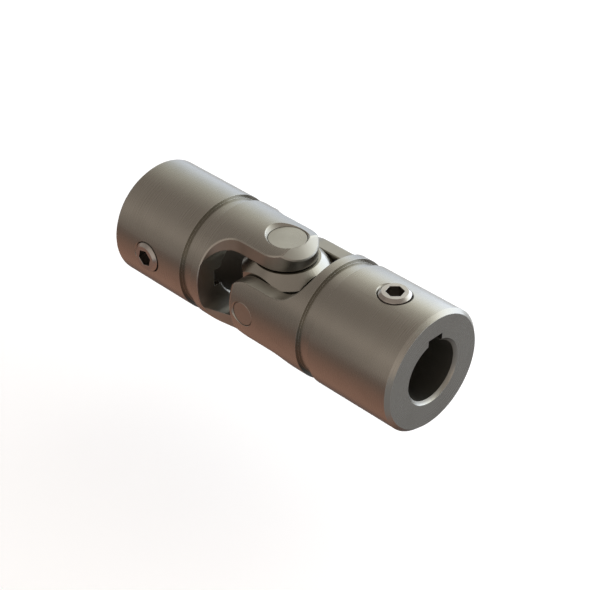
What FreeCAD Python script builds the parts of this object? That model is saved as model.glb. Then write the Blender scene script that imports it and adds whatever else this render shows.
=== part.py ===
import FreeCAD, Part
import math
import os

os.makedirs("parts", exist_ok=True)

# A pin-and-block universal joint, straight, with its length along X.
# The origin is where the two pin axes cross. The large pin stands along Z,
# the small pin lies along Y. Yoke A is at -X, yoke B at +X. Millimetres.

# Yoke: the turned bar
body_diameter = 31.75
pin_to_hub_end = 47.625
hub_end_chamfer = 1.0
bore_diameter = 15.875
bore_chamfer = 0.8
bore_root_break = 0.3
keyway_width = 4.7625
keyway_reach = 10.07          # from the bore's axis to the keyway's floor
groove_from_pin = 18.4        # the boot groove's edge on the fork's side
groove_width = 4.0
groove_depth = 0.95

# Yoke: the milled fork
fork_root = 15.875            # from the pin's axis to the fork's flat root
slot_width = 19.7
slot_corner_radius = 4.5
ear_width = 15.875
ear_reach = 7.5               # from the pin's axis to the ear's tip
scallop_radius = 7.9375
tip_chamfer = 3.3
edge_break = 0.25             # chamfer along the fork's milled edges

# Pins
large_pin_diameter = 9.8
large_pin_recess = 0.975      # how far the pin's end lies under the yoke's crown
small_pin_diameter = 6.35
small_pin_recess = 0.39
pin_edge_break = 0.15
running_clearance = 0.05      # radial, pin in ear
seat_clearance = 0.02         # radial, pin in block and small pin in large pin

# Centre block
block_side_gap = 0.15         # to each ear's inner face
block_corner_diameter = 22.5
block_end_diameter = 16.6

# Set screws
screw_from_hub_end = 12.7
screw_diameter = 7.9375
screw_length = 6.35
screw_stands_proud = 0.65
screw_end_bevel = 0.75
screw_point_bevel = 1.0
screw_cup_diameter = 4.0
screw_cup_depth = 0.8
screw_socket_flats = 3.97
screw_socket_depth = 3.2
screw_socket_turn_deg = 15.0
screw_hole_clearance = 0.05
screw_hole_countersink = 0.6

body_radius = body_diameter / 2
block_size = slot_width - 2 * block_side_gap
large_pin_end = body_radius - large_pin_recess
small_pin_end = body_radius - small_pin_recess
over = 1.0                    # how far a cutting tool runs past what it cuts
smallest_corner_deg = 20.0    # faces that meet flatter than this run on smoothly
same_place = 0.001            # points closer than this are one

X, Y, Z = FreeCAD.Vector(1, 0, 0), FreeCAD.Vector(0, 1, 0), FreeCAD.Vector(0, 0, 1)
origin = FreeCAD.Vector(0, 0, 0)


def point(x, y, z):
    return FreeCAD.Vector(x, y, z)


def wire_of(points):
    return Part.makePolygon(points + [points[0]])


def turned(points, axis):
    """A solid of revolution about an axis through the origin."""
    return Part.Face(wire_of(points)).revolve(origin, axis, 360)


def arc(start, middle, end):
    return Part.Arc(start, middle, end).toShape()


def line(start, end):
    return Part.LineSegment(start, end).toShape()


def turned_bar():
    """The yoke as it leaves the lathe: chamfered ends and the boot groove."""
    r, c = body_radius, hub_end_chamfer
    near, far = -groove_from_pin, -groove_from_pin - groove_width
    return turned([
        point(-pin_to_hub_end, 0, 0),
        point(-pin_to_hub_end, r - c, 0),
        point(-pin_to_hub_end + c, r, 0),
        point(far, r, 0),
        point(far, r - groove_depth, 0),
        point(near, r - groove_depth, 0),
        point(near, r, 0),
        point(ear_reach - tip_chamfer, r, 0),
        point(ear_reach, r - tip_chamfer, 0),
        point(ear_reach, 0, 0),
    ], X)


def fork_outline():
    """What the side mills leave: two ears with round tips that flare into the hub."""
    half, wide = ear_width / 2, body_radius + over
    tip_centre = ear_reach - half
    flare_start = -fork_root + scallop_radius
    flare_end = half + scallop_radius
    low = scallop_radius * (1 - math.sqrt(0.5))

    def side(s):
        foot = point(-fork_root, s * flare_end, 0)
        bend = point(-fork_root + low, s * (half + low), 0)
        ear_start = point(flare_start, s * half, 0)
        ear_end = point(tip_centre, s * half, 0)
        edges = [arc(foot, bend, ear_start), line(ear_start, ear_end)]
        if wide > flare_end:
            edges.append(line(point(-fork_root, s * wide, 0), foot))
        return edges

    back = -pin_to_hub_end - over
    tip = arc(point(tip_centre, -half, 0), point(ear_reach, 0, 0), point(tip_centre, half, 0))
    hub = [
        line(point(-fork_root, -wide, 0), point(back, -wide, 0)),
        line(point(back, -wide, 0), point(back, wide, 0)),
        line(point(back, wide, 0), point(-fork_root, wide, 0)),
    ]
    outline = Part.Wire(Part.__sortEdges__(side(-1) + side(1) + [tip] + hub))
    prism = Part.Face(outline).extrude(Z * 2 * wide)
    prism.translate(Z * -wide)
    return prism


def slot():
    """The slot between the ears, with rounded corners at its root."""
    half, r, wide = slot_width / 2, slot_corner_radius, body_radius + over
    root, mouth = -fork_root, ear_reach + over
    low = r * (1 - math.sqrt(0.5))
    edges = [
        line(point(mouth, -wide, -half), point(root + r, -wide, -half)),
        arc(point(root + r, -wide, -half), point(root + low, -wide, -half + low),
            point(root, -wide, -half + r)),
        line(point(root, -wide, -half + r), point(root, -wide, half - r)),
        arc(point(root, -wide, half - r), point(root + low, -wide, half - low),
            point(root + r, -wide, half)),
        line(point(root + r, -wide, half), point(mouth, -wide, half)),
        line(point(mouth, -wide, half), point(mouth, -wide, -half)),
    ]
    return Part.Face(Part.Wire(edges)).extrude(Y * 2 * wide)


def bore():
    """The shaft bore, chamfered at the hub's face and broken at the fork's root."""
    r, c, b = bore_diameter / 2, bore_chamfer, bore_root_break
    face, root = -pin_to_hub_end, -fork_root
    return turned([
        point(face - over, 0, 0),
        point(face - over, r + c + over, 0),
        point(face + c, r, 0),
        point(root - b, r, 0),
        point(root + over, r + b + over, 0),
        point(root + over, 0, 0),
    ], X)


def keyway():
    """The key's slot along the whole bore, on the side of the set screw."""
    length = pin_to_hub_end - fork_root + 2 * over
    corner = point(-pin_to_hub_end - over, -keyway_reach, -keyway_width / 2)
    return Part.makeBox(length, keyway_reach, keyway_width, corner)


def ear_hole(pin_diameter, recess):
    """A hole through both ears, flared at 45 degrees from the pin's end outwards."""
    r = pin_diameter / 2 + running_clearance
    end, rim = body_radius - recess, body_radius + over
    flare = rim - end
    return turned([
        point(0, 0, -rim),
        point(r + flare, 0, -rim),
        point(r, 0, -end),
        point(r, 0, end),
        point(r + flare, 0, rim),
        point(0, 0, rim),
    ], Z)


def screw_hole():
    """The set screw's hole, from outside into the keyway."""
    r, c = screw_diameter / 2 + screw_hole_clearance, screw_hole_countersink
    rim = body_radius + over
    tool = turned([
        point(0, 0, 0),
        point(0, -rim, 0),
        point(r + c + over, -rim, 0),
        point(r, -body_radius + c, 0),
        point(r, 0, 0),
    ], Y)
    tool.translate(X * (screw_from_hub_end - pin_to_hub_end))
    return tool


def middle(edge):
    return edge.valueAt((edge.FirstParameter + edge.LastParameter) / 2)


def is_corner(body, edge):
    """True where the two faces beside an edge meet at an angle."""
    beside = [f for f in body.Faces if any(e.isSame(edge) for e in f.Edges)]
    if len(beside) < 2:
        return False
    spot = middle(edge)
    a, b = [f.normalAt(*f.Surface.parameter(spot)) for f in beside]
    return math.degrees(a.getAngle(b)) > smallest_corner_deg


def fork_blank():
    """The milled fork, not yet bored. Its corners are chamfered before the slot's root is rounded."""
    wide = body_radius + over
    straight_end = slot_corner_radius - fork_root
    straight_slot = Part.makeBox(
        ear_reach + over - straight_end, 2 * wide, slot_width,
        point(straight_end, -wide, -slot_width / 2))
    body = turned_bar().common(fork_outline()).cut(straight_slot).removeSplitter()
    milled = [
        e for e in body.Edges
        if middle(e).x > -fork_root - edge_break
        and abs(middle(e).x - straight_end) > same_place
        and is_corner(body, e)
    ]
    return body.makeChamfer(edge_break, milled).cut(slot())


def yoke(pin_diameter, recess):
    """One yoke, in yoke A's place: hub at -X, ears at +Z and -Z, screw at -Y."""
    body = fork_blank()
    for tool in (bore(), keyway(), ear_hole(pin_diameter, recess), screw_hole()):
        body = body.cut(tool)
    return body.removeSplitter()


def pin(diameter, end):
    """A plain pin along Z with broken edges."""
    r, b = diameter / 2, pin_edge_break
    return turned([
        point(0, 0, -end),
        point(r - b, 0, -end),
        point(r, 0, -end + b),
        point(r, 0, end - b),
        point(r - b, 0, end),
        point(0, 0, end),
    ], Z)


def small_pin_hole():
    r = small_pin_diameter / 2 + seat_clearance
    return Part.makeCylinder(r, body_diameter, point(0, -body_radius, 0), Y)


def large_pin():
    """The large pin, cross-drilled for the small one."""
    return pin(large_pin_diameter, large_pin_end).cut(small_pin_hole())


def small_pin():
    shape = pin(small_pin_diameter, small_pin_end)
    shape.rotate(origin, X, 90)
    return shape


def centre_block():
    """A square block with turned corners and bevelled ends, bored both ways."""
    half = block_size / 2
    corner, end = block_corner_diameter / 2, block_end_diameter / 2
    drum = turned([
        point(0, 0, -half),
        point(end, 0, -half),
        point(corner, 0, -half + corner - end),
        point(corner, 0, half - corner + end),
        point(end, 0, half),
        point(0, 0, half),
    ], Z)
    square = Part.makeBox(block_size, block_size, block_size, point(-half, -half, -half))
    bored = Part.makeCylinder(
        large_pin_diameter / 2 + seat_clearance, 2 * block_size, point(0, 0, -block_size), Z)
    return drum.common(square).cut(bored).cut(small_pin_hole()).removeSplitter()


def hexagon(flats, depth, turn_deg):
    """A six-sided prism along -Y from y = 0."""
    corners = []
    for i in range(6):
        a = math.radians(60 * i + turn_deg)
        corners.append(point(flats / math.sqrt(3) * math.cos(a), 0, flats / math.sqrt(3) * math.sin(a)))
    return Part.Face(wire_of(corners)).extrude(Y * depth)


def set_screw():
    """A hollow hex set screw in yoke A's place, its socket outwards at -Y."""
    r, e, p = screw_diameter / 2, screw_end_bevel, screw_point_bevel
    cup = screw_cup_diameter / 2
    top = -body_radius - screw_stands_proud
    foot = top + screw_length
    shank = turned([
        point(0, top, 0),
        point(r - e, top, 0),
        point(r, top + e, 0),
        point(r, foot - p, 0),
        point(r - p, foot, 0),
        point(cup, foot, 0),
        point(0, foot - screw_cup_depth, 0),
    ], Y)
    socket = hexagon(screw_socket_flats, screw_socket_depth, screw_socket_turn_deg)
    socket.translate(Y * top)
    shape = shank.cut(socket)
    shape.translate(X * (screw_from_hub_end - pin_to_hub_end))
    return shape


def to_b(shape):
    """From yoke A's place to yoke B's: turned half round, then a quarter about X."""
    moved = shape.copy()
    moved.rotate(origin, Z, 180)
    moved.rotate(origin, X, 90)
    return moved


nodes = {
    "yoke_a": yoke(large_pin_diameter, large_pin_recess),
    "set_screw_a": set_screw(),
    "centre_block": centre_block(),
    "large_pin": large_pin(),
    "small_pin": small_pin(),
    "yoke_b": to_b(yoke(small_pin_diameter, small_pin_recess)),
    "set_screw_b": to_b(set_screw()),
}

for name, shape in nodes.items():
    shape.exportStep("parts/" + name + ".step")
    box = shape.optimalBoundingBox()
    print(name, "solids", len(shape.Solids), "valid", shape.isValid(), "volume", round(shape.Volume, 1),
          "x", round(box.XMin, 2), round(box.XMax, 2), "y", round(box.YMin, 2), round(box.YMax, 2),
          "z", round(box.ZMin, 2), round(box.ZMax, 2))
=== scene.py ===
import math

import bmesh
import bpy
from mathutils import Matrix, Vector


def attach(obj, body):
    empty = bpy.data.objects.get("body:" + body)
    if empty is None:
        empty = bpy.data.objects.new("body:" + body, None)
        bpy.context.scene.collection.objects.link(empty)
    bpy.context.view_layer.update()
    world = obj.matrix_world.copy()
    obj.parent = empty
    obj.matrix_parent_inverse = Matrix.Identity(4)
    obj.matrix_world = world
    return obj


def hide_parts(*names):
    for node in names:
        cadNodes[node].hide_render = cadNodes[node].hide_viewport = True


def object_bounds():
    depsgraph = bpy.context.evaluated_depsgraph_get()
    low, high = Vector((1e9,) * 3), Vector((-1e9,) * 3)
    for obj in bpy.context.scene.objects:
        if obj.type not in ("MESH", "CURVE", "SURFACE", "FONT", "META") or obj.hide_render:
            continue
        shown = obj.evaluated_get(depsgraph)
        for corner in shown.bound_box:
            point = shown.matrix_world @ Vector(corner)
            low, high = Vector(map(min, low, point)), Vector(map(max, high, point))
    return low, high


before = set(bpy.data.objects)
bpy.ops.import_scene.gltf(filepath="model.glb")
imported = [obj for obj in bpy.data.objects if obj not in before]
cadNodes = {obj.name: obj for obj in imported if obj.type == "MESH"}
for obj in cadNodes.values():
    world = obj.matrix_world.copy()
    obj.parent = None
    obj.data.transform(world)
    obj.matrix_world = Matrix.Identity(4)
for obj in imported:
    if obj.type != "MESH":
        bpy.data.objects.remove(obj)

cadLow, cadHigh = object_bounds()
mm = 0.001
print("universal joint: frame loaded,", len(cadNodes), "CAD nodes")


# nodes: a value is either put on the socket or, when it is another node's output, wired to it
def addNode(tree, kind, inputs=None, **settings):
    node = tree.nodes.new("ShaderNode" + kind)
    for key, value in settings.items():
        setattr(node, key, value)
    for key, value in (inputs or {}).items():
        if isinstance(value, bpy.types.NodeSocket):
            tree.links.new(value, node.inputs[key])
        else:
            node.inputs[key].default_value = value
    return node


def calc(tree, operation, a, b=0.0, clamp=False):
    return addNode(tree, "Math", {0: a, 1: b}, operation=operation, use_clamp=clamp).outputs[0]


def diagonal(tree, a, b):
    squares = [calc(tree, "POWER", value, 2.0) for value in (a, b)]
    return calc(tree, "SQRT", calc(tree, "ADD", *squares))


def vectorCalc(tree, operation, a, b=(0, 0, 0)):
    node = addNode(tree, "VectorMath", {0: a, 1: b}, operation=operation)
    return node.outputs["Value" if operation == "DOT_PRODUCT" else "Vector"]


def ramp(tree, value, low, high, toLow=0.0, toHigh=1.0, smooth=True):
    kind = "SMOOTHSTEP" if smooth else "LINEAR"
    node = addNode(tree, "MapRange", {"Value": value, "From Min": low, "From Max": high,
                                      "To Min": toLow, "To Max": toHigh}, interpolation_type=kind)
    return node.outputs["Result"]


def mixColour(tree, factor, a, b):
    a, b = (value if isinstance(value, bpy.types.NodeSocket) else (*value, 1.0) for value in (a, b))
    return addNode(tree, "Mix", {0: factor, 6: a, 7: b}, data_type="RGBA").outputs[2]


def mixValue(tree, factor, a, b):
    return addNode(tree, "Mix", {0: factor, 2: a, 3: b}, data_type="FLOAT").outputs[0]


def noise(tree, vector, scale, detail, roughness):
    node = addNode(tree, "TexNoise", {"Vector": vector, "Scale": scale, "Detail": detail,
                                      "Roughness": roughness})
    return node.outputs["Fac"]


def joined(tree, x, y, z):
    return addNode(tree, "CombineXYZ", {"X": x, "Y": y, "Z": z}).outputs[0]


def placeOn(tree):
    place = addNode(tree, "TexCoord").outputs["Object"]
    return addNode(tree, "SeparateXYZ", {0: place}).outputs


def emptyMaterial(name):
    material = bpy.data.materials.new(name)
    material.use_nodes = True
    material.node_tree.nodes.clear()
    return material, material.node_tree


def addObject(name, shape):
    mesh = bpy.data.meshes.new(name)
    shape.to_mesh(mesh)
    shape.free()
    thing = bpy.data.objects.new(name, mesh)
    bpy.context.scene.collection.objects.link(thing)
    return thing


# a machined steel surface; where gives the run of its tool marks, how far a point is inside a hole,
# which is darkened there as painted shade, and how much duller it is
def machinedSteel(name, look, where):
    material, tree = emptyMaterial(name)
    place = addNode(tree, "TexCoord")
    inMm = vectorCalc(tree, "MULTIPLY", place.outputs["Object"], (1 / mm, 1 / mm, 1 / mm))
    point = addNode(tree, "Mapping", {"Vector": inMm, "Rotation": look["turn"]}).outputs[0]
    facing = addNode(tree, "Mapping", {"Vector": place.outputs["Normal"], "Rotation": look["turn"]},
                     vector_type="NORMAL").outputs[0]
    px, py, pz = addNode(tree, "SeparateXYZ", {0: point}).outputs
    nx, ny, nz = addNode(tree, "SeparateXYZ", {0: facing}).outputs
    marks, inside, duller = where(tree, px, py, pz, nx, ny, nz)

    fineLines = noise(tree, joined(tree, marks, 0.0, 0.0), look["linesPerMm"],
                      *look["lineDetail"])
    wideLines = noise(tree, joined(tree, marks, *look["wideOffset"]),
                      look["linesPerMm"] * look["wideShare"], *look["wideDetail"])
    cloud = noise(tree, point, look["cloudScale"], *look["cloudDetail"])
    grain = noise(tree, point, look["grainScale"], *look["grainDetail"])

    # worn edges, lighter, which also stand in as painted highlights along the edges: where a
    # rounded copy of the normal leaves the true one
    softNormal = addNode(tree, "Bevel", {"Radius": look["edgeWidth"] * mm},
                         samples=look["edgeSamples"]).outputs[0]
    trueNormal = addNode(tree, "NewGeometry").outputs["Normal"]
    bend = vectorCalc(tree, "DOT_PRODUCT", softNormal, trueNormal)
    edge = ramp(tree, bend, *look["edgeBend"])
    patches = ramp(tree, cloud, *look["edgeClouds"], look["edgeLeast"], 1.0)
    edge = calc(tree, "MULTIPLY", edge, patches)

    # painted shade: the colour is darkened in corners, where shade falls, and inside holes
    shelter = addNode(tree, "AmbientOcclusion", {"Distance": look["cornerReach"] * mm},
                      samples=look["cornerSamples"]).outputs["AO"]
    paintedShade = ramp(tree, shelter, *look["cornerShelter"], 0.0, look["cornerDark"])
    paintedShade = calc(tree, "MAXIMUM", paintedShade, calc(tree, "MULTIPLY", inside, look["insideDark"]))

    patches = ramp(tree, cloud, *look["noiseRange"])
    tone = mixColour(tree, patches, look["colour"], look["colourTwo"])
    streak = calc(tree, "MULTIPLY", ramp(tree, wideLines, *look["streakRange"]), look["streak"])
    tone = mixColour(tree, streak, tone, look["colourStreak"])
    # lighter edges: partly wear, partly painted highlight
    edge = calc(tree, "MULTIPLY", edge, look["edgeBright"])
    tone = mixColour(tree, edge, tone, look["colourEdge"])
    # painted shade darkens the corners and the insides of holes
    tone = mixColour(tree, paintedShade, tone, look["colourPaintedShade"])

    rough = ramp(tree, fineLines, *look["noiseRange"], look["rough"] - look["roughVary"],
                 look["rough"] + look["roughVary"], False)
    clouded = calc(tree, "MULTIPLY", calc(tree, "SUBTRACT", cloud, 0.5), look["roughCloud"])
    rough = calc(tree, "ADD", rough, clouded)
    rough = calc(tree, "ADD", rough, calc(tree, "MULTIPLY", duller, look["roughMilled"]))
    # the painted-shade mask also makes those places rougher
    rough = mixValue(tree, paintedShade, rough, look["roughInPaintedShade"])

    height = calc(tree, "ADD", calc(tree, "MULTIPLY", fineLines, look["lineDepth"]),
                  calc(tree, "MULTIPLY", wideLines, look["lineDepth"] * look["wideDepth"]))
    height = calc(tree, "ADD", height, calc(tree, "MULTIPLY", grain, look["grainDepth"]))
    bump = addNode(tree, "Bump", {"Height": height, "Distance": mm, "Normal": softNormal,
                                  "Strength": 1.0}).outputs[0]
    tangent = addNode(tree, "Tangent", direction_type="RADIAL", axis=look["axis"]).outputs[0]
    steel = addNode(tree, "BsdfPrincipled", {
        "Base Color": tone, "Metallic": 1.0, "Roughness": rough, "Normal": bump,
        "Anisotropic": look["anisotropic"], "Tangent": tangent}).outputs[0]
    addNode(tree, "OutputMaterial", {"Surface": steel})
    return material


def dress(node, material):
    mesh = cadNodes[node].data
    mesh.materials.clear()
    mesh.materials.append(material)


# yokes: turned outside, faced end, milled fork. The marks are laid out for yoke A, whose hub is
# at -X and whose keyway is at -Y, and turned for its twin. Lengths are in millimetres
yokeLook = {
    "turn": (0, 0, 0),
    "axis": "X",
    "colour": (0.325, 0.312, 0.272),
    "colourTwo": (0.306, 0.292, 0.253),
    "colourStreak": (0.277, 0.263, 0.226),
    "colourEdge": (0.52, 0.50, 0.47),
    "colourPaintedShade": (0.045, 0.043, 0.043),
    "streak": 0.075,
    "streakRange": (0.35, 0.65),             # of the noise behind the wide lines
    "noiseRange": (0.3, 0.7),
    "edgeBright": 0.6,
    "edgeWidth": 0.12,
    "edgeSamples": 4,
    "edgeBend": (0.995, 0.9),                # cosine between the true and the rounded normal
    "edgeClouds": (0.35, 0.6),
    "edgeLeast": 0.45,
    # painted shade in corners, from ambient occlusion
    "cornerDark": 0.45,
    "cornerReach": 1.6,
    "cornerSamples": 8,
    "cornerShelter": (0.5, 0.05),            # open sky left where the painted shade starts and is full
    # painted shade inside the bore
    "insideDark": 0.3,
    "linesPerMm": 3.2,
    "lineDepth": 0.0007,
    "lineDetail": (2.0, 0.6),                # octaves of the noise, and how rough they are
    "wideShare": 0.22,                       # wide lines, against the fine ones
    "wideDepth": 1.6,
    "wideOffset": (3.7, 1.3),
    "wideDetail": (2.0, 0.5),
    "cloudScale": 0.12,
    "cloudDetail": (4.0, 0.55),
    "grainScale": 4.0,
    "grainDetail": (3.0, 0.6),
    "grainDepth": 0.0015,
    "rough": 0.27,
    "roughVary": 0.035,
    "roughCloud": 0.12,
    "roughInPaintedShade": 0.6,
    "roughMilled": 0.12,
    "anisotropic": 0.35,
    "facedFrom": (0.75, 0.9),                # share of the normal along the axis
    "milledDepth": (15.725, 15.525),         # from the axis, where turning gives way to milling
    "milledFrom": (-16.175, -15.875),        # along X, at the fork's root
    "boreWall": (8.6875, 8.0375),
    "boreEnd": (-15.675, -16.075),
    "boreDull": 1.5,
    "cutterAt": (2.0, 26.0),
}


def yokeMarks(tree, px, py, pz, nx, ny, nz):
    fromAxis = diagonal(tree, py, pz)
    faced = ramp(tree, calc(tree, "ABSOLUTE", nx), *yokeLook["facedFrom"])
    turned = mixValue(tree, faced, px, fromAxis)
    cutterX, cutterY = yokeLook["cutterAt"]
    sweep = diagonal(tree, calc(tree, "SUBTRACT", px, cutterX), calc(tree, "SUBTRACT", py, cutterY))
    milled = calc(tree, "MULTIPLY", ramp(tree, px, *yokeLook["milledFrom"]),
                  ramp(tree, fromAxis, *yokeLook["milledDepth"]))
    marks = mixValue(tree, milled, turned, sweep)
    inBore = calc(tree, "MULTIPLY", ramp(tree, fromAxis, *yokeLook["boreWall"]),
                  ramp(tree, px, *yokeLook["boreEnd"]))
    duller = calc(tree, "MAXIMUM", milled, calc(tree, "MULTIPLY", inBore, yokeLook["boreDull"]))
    return marks, inBore, duller


dress("yoke_a", machinedSteel("yokeSteelA", yokeLook, yokeMarks))
dress("yoke_b", machinedSteel("yokeSteelB", {**yokeLook, "turn": (-math.pi / 2, 0, -math.pi)},
                              yokeMarks))
print("yokes: turned and milled steel")


# centre block: ground flats, turned corners
blockLook = {**yokeLook,
             "axis": "Z",
             "colour": (0.295, 0.283, 0.245),
             "colourTwo": (0.278, 0.266, 0.229),
             "cornerDark": 0.5,
             "insideDark": 0.0,
             "linesPerMm": 4.0,
             "rough": 0.21,
             "anisotropic": 0.6,
             "facedFrom": (0.8, 0.95),
             "turnedFrom": (10.8, 11.1)}         # from the large pin's axis: the turned corners


def blockMarks(tree, px, py, pz, nx, ny, nz):
    upright = ramp(tree, calc(tree, "ABSOLUTE", nz), *blockLook["facedFrom"])
    corner = ramp(tree, diagonal(tree, px, py), *blockLook["turnedFrom"])
    return mixValue(tree, corner, mixValue(tree, upright, pz, px), pz), 0.0, 0.0


dress("centre_block", machinedSteel("blockSteel", blockLook, blockMarks))
print("centre block: ground steel")


# pins: ground round, faced ends with rings round the pin's own axis
pinLook = {**yokeLook,
           "colour": (0.33, 0.317, 0.277),
           "colourTwo": (0.31, 0.297, 0.257),
           "colourStreak": (0.29, 0.277, 0.24),
           "cornerDark": 0.35,
           "insideDark": 0.0,
           "streak": 0.2,
           "rough": 0.3,
           "facedFrom": (0.8, 0.95)}


def largePinMarks(tree, px, py, pz, nx, ny, nz):
    top = ramp(tree, calc(tree, "ABSOLUTE", nz), *pinLook["facedFrom"])
    return mixValue(tree, top, pz, diagonal(tree, px, py)), 0.0, 0.0


def smallPinMarks(tree, px, py, pz, nx, ny, nz):
    front = ramp(tree, calc(tree, "ABSOLUTE", ny), *pinLook["facedFrom"])
    return mixValue(tree, front, py, diagonal(tree, px, pz)), 0.0, 0.0


dress("large_pin", machinedSteel("largePinSteel", {**pinLook, "axis": "Z"}, largePinMarks))
dress("small_pin", machinedSteel("smallPinSteel", {**pinLook, "axis": "Y"}, smallPinMarks))
print("pins: ground steel with faced ends")


# set screws: a rolled thread, a bevelled head end, a hollow hex and a cup point
screwSize = {
    "radius": 3.96875,
    "length": 6.35,
    "pitch": 1.411,
    "threadDepth": 0.72,
    "threadFrom": (0.95, 1.6),               # below the head: where it starts and is full
    "headBevel": 0.75,
    "pointBevel": 1.0,
    "socketFlats": 3.97,
    "socketDepth": 3.2,
    "socketDrill": 3.55,
    "socketBreak": 0.05,
    "socketTurnA": 15,                       # degrees, as the photograph shows them
    "socketTurnB": 45,
    "drillShare": 0.96,                      # of the socket's flats, the tip drill under it
    "drillStep": 0.02,
    "cupRadius": 2.0,
    "cupDepth": 0.8,
    "headFromAxis": 16.525,
    "fromCross": 34.925,
    "aroundSteps": 96,
    "stepsPerPitch": 12,
    "weld": 0.002,
    "threadWeld": 0.0005,
    "sharpFrom": 28,                         # degrees
}
screwLook = {**yokeLook,
             "axis": "Z",
             "colour": (0.37, 0.35, 0.32),
             "colourTwo": (0.33, 0.31, 0.28),
             "colourStreak": (0.29, 0.27, 0.24),
             # painted shade inside the hex socket
             "insideDark": 0.2,
             "cornerDark": 0.5,
             "cornerReach": 1.0,
             "rough": 0.27,
             "facedFrom": (0.6, 0.9),
             "socketWall": (2.42, 2.2),
             "socketFrom": (-0.05, -0.6)}


# a screw is made with its head end at z = 0 and its point down, in millimetres
def threadRadius(phase, z, size):
    crest, root = 1 / 8, 1 / 4                   # flats, in pitches
    start, full = size["threadFrom"]
    depth = size["threadDepth"] * min(max((-z - start) / (full - start), 0.0), 1.0)
    away = abs(((phase + 0.5) % 1.0) - 0.5)      # from the crest's middle, in pitches
    slope = (away - crest / 2) / (0.5 - crest / 2 - root / 2)
    return size["radius"] - depth * min(max(slope, 0.0), 1.0)


def endRadius(z, size):
    fromHead, fromPoint = -z, size["length"] + z
    return min(size["radius"] - size["headBevel"] + fromHead,
               size["radius"] - size["pointBevel"] + fromPoint)


def hexRadius(angle, flats):
    sixth = math.pi / 3
    return flats / 2 / math.cos((angle % sixth) - sixth / 2)


def screwShape(size, turn):
    n, perPitch = size["aroundSteps"], size["stepsPerPitch"]
    step = size["pitch"] / perPitch
    rows = int(math.ceil(size["length"] / step)) + perPitch
    shape = bmesh.new()

    def ring(radiusAt, zAt):
        made = []
        for i in range(n):
            angle = 2 * math.pi * i / n
            r, z = radiusAt(angle), zAt(angle)
            made.append(shape.verts.new((r * math.cos(angle), r * math.sin(angle), z)))
        return made

    # the thread climbs one pitch a turn, so the last corner of a row joins the row a pitch above
    grid = []
    for j in range(rows + 1):
        column = []
        for i in range(n):
            angle = 2 * math.pi * i / n
            z = -size["length"] + (j - perPitch + perPitch * i / n) * step
            z = min(max(z, -size["length"]), 0.0)
            phase = z / size["pitch"] - i / n
            r = min(threadRadius(phase, z, size), endRadius(z, size))
            column.append(shape.verts.new((r * math.cos(angle), r * math.sin(angle), z)))
        grid.append(column)
    for j in range(rows):
        for i in range(n - 1):
            shape.faces.new((grid[j][i], grid[j][i + 1], grid[j + 1][i + 1], grid[j + 1][i]))
        if j + perPitch + 1 <= rows:
            shape.faces.new((grid[j][n - 1], grid[j + perPitch][0], grid[j + perPitch + 1][0],
                             grid[j + 1][n - 1]))
    bmesh.ops.remove_doubles(shape, verts=shape.verts, dist=size["threadWeld"])
    bmesh.ops.dissolve_degenerate(shape, dist=size["threadWeld"], edges=shape.edges)

    flats, rim = size["socketFlats"], size["socketBreak"]
    headRadius = size["radius"] - size["headBevel"]
    socket = [
        ring(lambda a: headRadius, lambda a: 0.0),
        ring(lambda a: hexRadius(a - turn, flats) + rim, lambda a: 0.0),
        ring(lambda a: hexRadius(a - turn, flats), lambda a: -rim),
        ring(lambda a: hexRadius(a - turn, flats), lambda a: -size["socketDepth"]),
        ring(lambda a: flats / 2 * size["drillShare"],
             lambda a: -size["socketDepth"] - size["drillStep"]),
    ]
    point = [
        ring(lambda a: size["radius"] - size["pointBevel"], lambda a: -size["length"]),
        ring(lambda a: size["cupRadius"], lambda a: -size["length"]),
    ]
    for rings, tip, flip in ((socket, -size["socketDrill"], False),
                             (point, size["cupDepth"] - size["length"], True)):
        for outer, inner in zip(rings, rings[1:]):
            for i in range(n):
                corners = (outer[i], outer[(i + 1) % n], inner[(i + 1) % n], inner[i])
                shape.faces.new(corners[::-1] if flip else corners)
        centre = shape.verts.new((0, 0, tip))
        for i in range(n):
            corners = (rings[-1][i], rings[-1][(i + 1) % n], centre)
            shape.faces.new(corners[::-1] if flip else corners)
    bmesh.ops.remove_doubles(shape, verts=shape.verts, dist=size["weld"])
    bmesh.ops.scale(shape, vec=(mm, mm, mm), verts=shape.verts)
    return shape


def screwMarks(tree, px, py, pz, nx, ny, nz):
    rings = diagonal(tree, px, py)
    flat = ramp(tree, calc(tree, "ABSOLUTE", nz), *screwLook["facedFrom"])
    inSocket = calc(tree, "MULTIPLY", ramp(tree, rings, *screwLook["socketWall"]),
                    ramp(tree, pz, *screwLook["socketFrom"]))
    return mixValue(tree, flat, pz, rings), inSocket, 0.0


def addScrew(name, node, body, across, up, out, socketTurn):
    screw = addObject(name, screwShape(screwSize, math.radians(socketTurn)))
    screw.data.shade_smooth()
    screw.data.set_sharp_from_angle(angle=math.radians(screwSize["sharpFrom"]))
    screw.data.materials.append(screwSteel)
    side = -1 if body == "yoke_a" else 1
    top = Vector((side * screwSize["fromCross"] * mm, 0, 0)) + out * screwSize["headFromAxis"] * mm
    turn = Matrix((across, up, out)).transposed().to_4x4()
    screw.matrix_world = Matrix.Translation(top) @ turn
    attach(screw, body)
    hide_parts(node)


screwSteel = machinedSteel("screwSteel", screwLook, screwMarks)
xAxis, yAxis, zAxis = Vector((1, 0, 0)), Vector((0, 1, 0)), Vector((0, 0, 1))
addScrew("threadedScrewA", "set_screw_a", "yoke_a", xAxis, zAxis, -yAxis, screwSize["socketTurnA"])
addScrew("threadedScrewB", "set_screw_b", "yoke_b", xAxis, yAxis, zAxis, screwSize["socketTurnB"])
print("set screws: threaded, with hex sockets")


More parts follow.
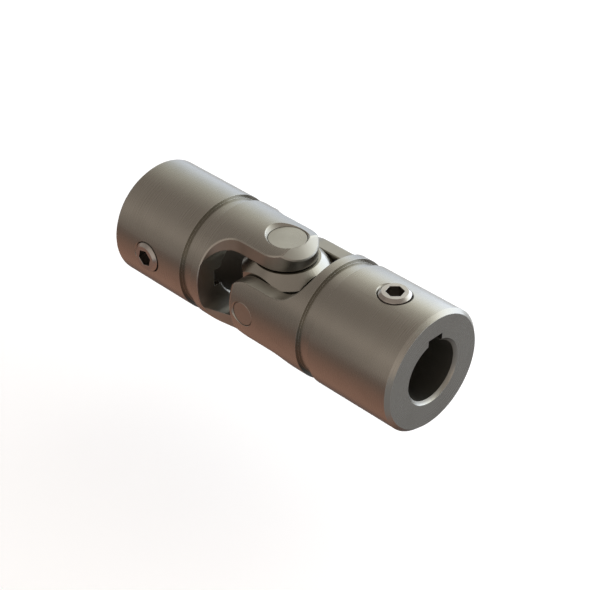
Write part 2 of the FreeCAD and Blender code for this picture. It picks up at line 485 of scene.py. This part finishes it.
# floor: pale, white where nothing shades it. The joint is held by hub A's bore, and the floor lies
# low enough for hub B to swing all the way down
floorLook = {
    "half": 3.0,
    "below": 0.026,                          # under the straight joint
    "colour": (0.62, 0.62, 0.62),
    "glow": 0.56,
    "glowAtRim": 0.74,
    "rim": (0.90, 0.30),                     # the light tent's foot, as half sizes along X and Y
    "rimFrom": (0.4, 0.9),                   # shares of the way out to it
}


def addFloor(look):
    shape = bmesh.new()
    bmesh.ops.create_grid(shape, x_segments=1, y_segments=1, size=look["half"])
    floor = addObject("floor", shape)
    floor.location.z = cadLow.z - look["below"]
    material, tree = emptyMaterial("floorPaper")
    ray = addNode(tree, "LightPath")
    shown = calc(tree, "MAXIMUM", ray.outputs["Is Camera Ray"], ray.outputs["Is Glossy Ray"])
    shown = calc(tree, "MAXIMUM", shown, ray.outputs["Is Transmission Ray"])
    paper = addNode(tree, "BsdfDiffuse", {"Color": (*look["colour"], 1)}).outputs[0]
    x, y, z = placeOn(tree)
    outwards = diagonal(tree, calc(tree, "DIVIDE", x, look["rim"][0]),
                        calc(tree, "DIVIDE", y, look["rim"][1]))
    strength = ramp(tree, outwards, *look["rimFrom"], look["glow"], look["glowAtRim"])
    strength = calc(tree, "MULTIPLY", shown, strength)
    glow = addNode(tree, "Emission", {"Color": (1, 1, 1, 1), "Strength": strength}).outputs[0]
    both = addNode(tree, "AddShader", {0: paper, 1: glow}).outputs[0]
    addNode(tree, "OutputMaterial", {"Surface": both})
    floor.data.materials.append(material)


addFloor(floorLook)


# light tent: a long soft tunnel round the shaft line, which the camera looks through. A window of
# cool light lies behind the joint and grows towards the right, the roof and the front are dim and
# warm. Degrees go up from the horizon behind, over the top, to the front
tentLook = {
    "length": 0.90,                          # half of it, in metres
    "radius": 0.30,
    "subdivisions": 4,
    "brightest": 3.5,
    "degrees": (0, 13, 29, 45, 61, 77, 93, 125, 155, 175),
    "levels": {                              # metres along the joint, light at each of the degrees
        -0.257: (1.66, 1.62, 1.18, 0.89, 0.71, 0.50, 0.41, 0.45, 0.62, 0.48),
        -0.167: (1.22, 1.68, 1.95, 1.41, 0.98, 0.62, 0.34, 0.33, 0.56, 0.22),
        -0.070: (3.50, 3.35, 3.05, 1.60, 0.65, 0.55, 0.51, 0.57, 0.80, 0.90),
    },
    "tints": ((0, (0.78, 0.855, 1.0)), (21, (0.85, 0.915, 1.0)), (45, (1.0, 1.0, 0.93)),
              (93, (1.0, 0.88, 0.81))),
}


def bands(tree, share, stops):
    node = addNode(tree, "ValToRGB", {"Fac": share})
    marks = node.color_ramp.elements
    marks.remove(marks[1])
    for index, (degrees, colour) in enumerate(stops):
        mark = marks[0] if index == 0 else marks.new(degrees / 180)
        mark.position = degrees / 180
        mark.color = (*colour, 1.0)
    return node.outputs["Color"]


def addTent(look):
    shape = bmesh.new()
    bmesh.ops.create_icosphere(shape, subdivisions=look["subdivisions"], radius=1.0)
    bmesh.ops.scale(shape, vec=(look["length"], look["radius"], look["radius"]), verts=shape.verts)
    bmesh.ops.reverse_faces(shape, faces=shape.faces)
    tent = addObject("lightTent", shape)
    tent.visible_camera = False
    tent.visible_shadow = False
    material, tree = emptyMaterial("tentCloth")
    x, y, z = placeOn(tree)
    overFloor = calc(tree, "MAXIMUM", z, 0.0)
    share = calc(tree, "DIVIDE", calc(tree, "ARCTAN2", overFloor, y), math.pi, clamp=True)
    level, lastPlace = None, None
    for place, row in look["levels"].items():
        greys = [(value / look["brightest"],) * 3 for value in row]
        rowLevel = bands(tree, share, list(zip(look["degrees"], greys)))
        if level is None:
            level = rowLevel
        else:
            along = ramp(tree, x, lastPlace, place, smooth=False)
            level = mixColour(tree, along, level, rowLevel)
        lastPlace = place
    colour = vectorCalc(tree, "MULTIPLY", level, bands(tree, share, look["tints"]))
    glow = addNode(tree, "Emission", {"Color": colour, "Strength": look["brightest"]}).outputs[0]
    addNode(tree, "OutputMaterial", {"Surface": glow})
    tent.data.materials.append(material)


addTent(tentLook)


# bounce card: a warm sheet under and before the joint, grey past its right end, which shows only in
# reflections. Behind the joint they show some of the white floor through it
cardLook = {
    "lift": 0.00002,                         # over the floor
    "corners": 64,
    "bands": (                               # millimetres before the shaft line, colour
        (-10, (0.17, 0.17, 0.18)), (5, (0.21, 0.13, 0.11)), (15, (0.50, 0.29, 0.22)),
        (35, (0.50, 0.29, 0.23)), (110, (0.26, 0.19, 0.165)), (300, (0.34, 0.29, 0.28)),
    ),
    "grey": (0.43, 0.43, 0.455),
    "greyFrom": (0.055, 0.065),
    "backEdge": (0.055, 0.085),
    "backClear": 0.5,                        # how much of the white floor shows through it there
}


def addCard(look):
    shape = bmesh.new()
    bmesh.ops.create_circle(shape, cap_ends=True, segments=look["corners"], radius=1.0)
    bmesh.ops.scale(shape, vec=(tentLook["length"], tentLook["radius"], 1.0), verts=shape.verts)
    card = addObject("bounceCard", shape)
    card.location.z = cadLow.z - floorLook["below"] + look["lift"]
    card.visible_camera = False
    card.visible_diffuse = False
    card.visible_shadow = False
    card.visible_transmission = False
    material, tree = emptyMaterial("cardCloth")
    x, y, z = placeOn(tree)
    before = calc(tree, "MULTIPLY", y, -1 / mm)
    colour = look["bands"][0][1]
    for (low, _), (high, nextColour) in zip(look["bands"], look["bands"][1:]):
        colour = mixColour(tree, ramp(tree, before, low, high, smooth=False), colour, nextColour)
    pastEnd = ramp(tree, x, *look["greyFrom"])
    colour = mixColour(tree, pastEnd, colour, look["grey"])
    glow = addNode(tree, "Emission", {"Color": colour, "Strength": 1.0}).outputs[0]
    clear = addNode(tree, "BsdfTransparent").outputs[0]
    opening = calc(tree, "MULTIPLY", ramp(tree, y, *look["backEdge"], 0.0, look["backClear"]),
                   calc(tree, "SUBTRACT", 1.0, pastEnd))
    faded = addNode(tree, "MixShader", {0: opening, 1: glow, 2: clear}).outputs[0]
    addNode(tree, "OutputMaterial", {"Surface": faded})
    card.data.materials.append(material)


addCard(cardLook)
print("stage: floor, light tent and bounce card")


world = bpy.data.worlds.new("paleWorld")
world.use_nodes = True
world.node_tree.nodes.clear()
backdrop = addNode(world.node_tree, "Background",
                   {"Color": (1, 1, 1, 1), "Strength": 1.0}).outputs[0]
addNode(world.node_tree, "OutputWorld", {"Surface": backdrop})
bpy.context.scene.world = world


# camera: the photograph's own angle, fitted to the joint's circles
cameraLook = {
    "azimuth": 45.0,
    "elevation": 35.264,
    "distance": 0.4078,
    "lens": 100.51,
    "sensor": 36.0,
    "shiftX": 0.01265,
    "shiftY": -0.01225,
    "clip": (0.01, 20.0),
}


def addCamera(look):
    azimuth, elevation = math.radians(look["azimuth"]), math.radians(look["elevation"])
    level = math.cos(elevation)
    back = Vector((math.sin(azimuth) * level, -math.cos(azimuth) * level, math.sin(elevation)))
    data = bpy.data.cameras.new("photoCamera")
    data.sensor_width = look["sensor"]
    data.lens = look["lens"]
    data.shift_x, data.shift_y = look["shiftX"], look["shiftY"]
    data.clip_start, data.clip_end = look["clip"]
    camera = bpy.data.objects.new("photoCamera", data)
    camera.location = back * look["distance"]
    camera.rotation_euler = (-back).to_track_quat("-Z", "Y").to_euler()
    bpy.context.scene.collection.objects.link(camera)
    bpy.context.scene.camera = camera


addCamera(cameraLook)
bpy.context.scene.view_settings.view_transform = "Standard"
print("camera set")
